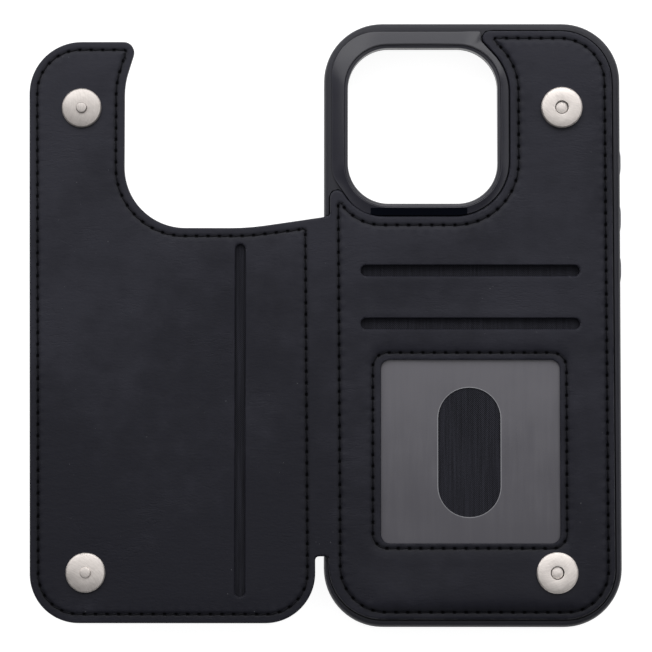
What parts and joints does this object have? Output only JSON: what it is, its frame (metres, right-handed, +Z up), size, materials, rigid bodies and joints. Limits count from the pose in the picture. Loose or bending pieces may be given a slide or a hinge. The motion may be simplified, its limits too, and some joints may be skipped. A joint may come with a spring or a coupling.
{
  "type": "phone wallet case",
  "caption": "Moulded phone shell with a leather card wallet on its back, an ID window, a raised camera guard and a hinged flap that closes on magnetic snaps.",
  "frame": {"origin": "middle of the open case's box, on the surface that it lies on", "axes": "+Z up, out of the shell's back and the wallet; +Y towards the camera end; +X from the flap to the shell's button side"},
  "size_m": [0.151, 0.1536, 0.0152],
  "materials": {
    "tpu": "satin moulded",
    "gloss_guard": "satin gloss",
    "button_plastic": "satin",
    "leather": "smooth, fine grain",
    "woven_lining": "fine plain weave",
    "thread": "twisted thread",
    "frosted_film": "frosted, translucent",
    "nickel": "polished nickel",
    "steel": "plain",
    "ferrite": "matt",
    "fibreboard": "matt board"
  },
  "bodies": {
    "case": {"phone_shell": "tpu", "camera_guard": "gloss_guard", "wallet_backing": "woven_lining", "rear_pocket_lining": "woven_lining", "front_pocket_lining": "woven_lining", "id_window_film": "frosted_film", "wallet_face": "leather", "wallet_thread": "thread", "window_thread": "thread", "upper_socket_cover": "nickel", "upper_socket_base": "nickel", "upper_socket_magnet": "ferrite", "upper_socket_washer": "steel", "lower_socket_cover": "nickel", "lower_socket_base": "nickel", "lower_socket_magnet": "ferrite", "lower_socket_washer": "steel"},
    "spine": {"spine_outer_leather": "leather", "spine_inner_leather": "leather"},
    "flap": {"flap_outer_leather": "leather", "flap_board": "fibreboard", "flap_pocket_lining": "woven_lining", "flap_inner_leather": "leather", "flap_thread": "thread", "upper_stud_disc": "nickel", "upper_stud_nub": "nickel", "upper_stud_washer": "steel", "lower_stud_disc": "nickel", "lower_stud_nub": "nickel", "lower_stud_washer": "steel"},
    "action_button": {"action_button": "button_plastic"},
    "volume_up_button": {"volume_up_button": "button_plastic"},
    "volume_down_button": {"volume_down_button": "button_plastic"},
    "side_button": {"side_button": "button_plastic"}
  },
  "joints": [
    {"name": "spine_fold", "type": "hinge", "parent": "case", "child": "spine", "pos_m": [0.00086, 0, 0.01275], "axis": [0, 1, 0], "range_deg": [-8, 90]},
    {"name": "flap_fold", "type": "hinge", "parent": "spine", "child": "flap", "pos_m": [-0.00314, 0, 0.01275], "axis": [0, 1, 0], "range_deg": [0, 90]},
    {"name": "action_press", "type": "slide", "parent": "case", "child": "action_button", "axis": [-1, 0, 0], "range_m": [0, 0.0004], "stiffness_N_per_m": 1200, "springref_m": -0.0001},
    {"name": "volume_up_press", "type": "slide", "parent": "case", "child": "volume_up_button", "axis": [-1, 0, 0], "range_m": [0, 0.0004], "stiffness_N_per_m": 1200, "springref_m": -0.0001},
    {"name": "volume_down_press", "type": "slide", "parent": "case", "child": "volume_down_button", "axis": [-1, 0, 0], "range_m": [0, 0.0004], "stiffness_N_per_m": 1200, "springref_m": -0.0001},
    {"name": "side_press", "type": "slide", "parent": "case", "child": "side_button", "axis": [1, 0, 0], "range_m": [0, 0.0004], "stiffness_N_per_m": 1200, "springref_m": -0.0001}
  ]
}
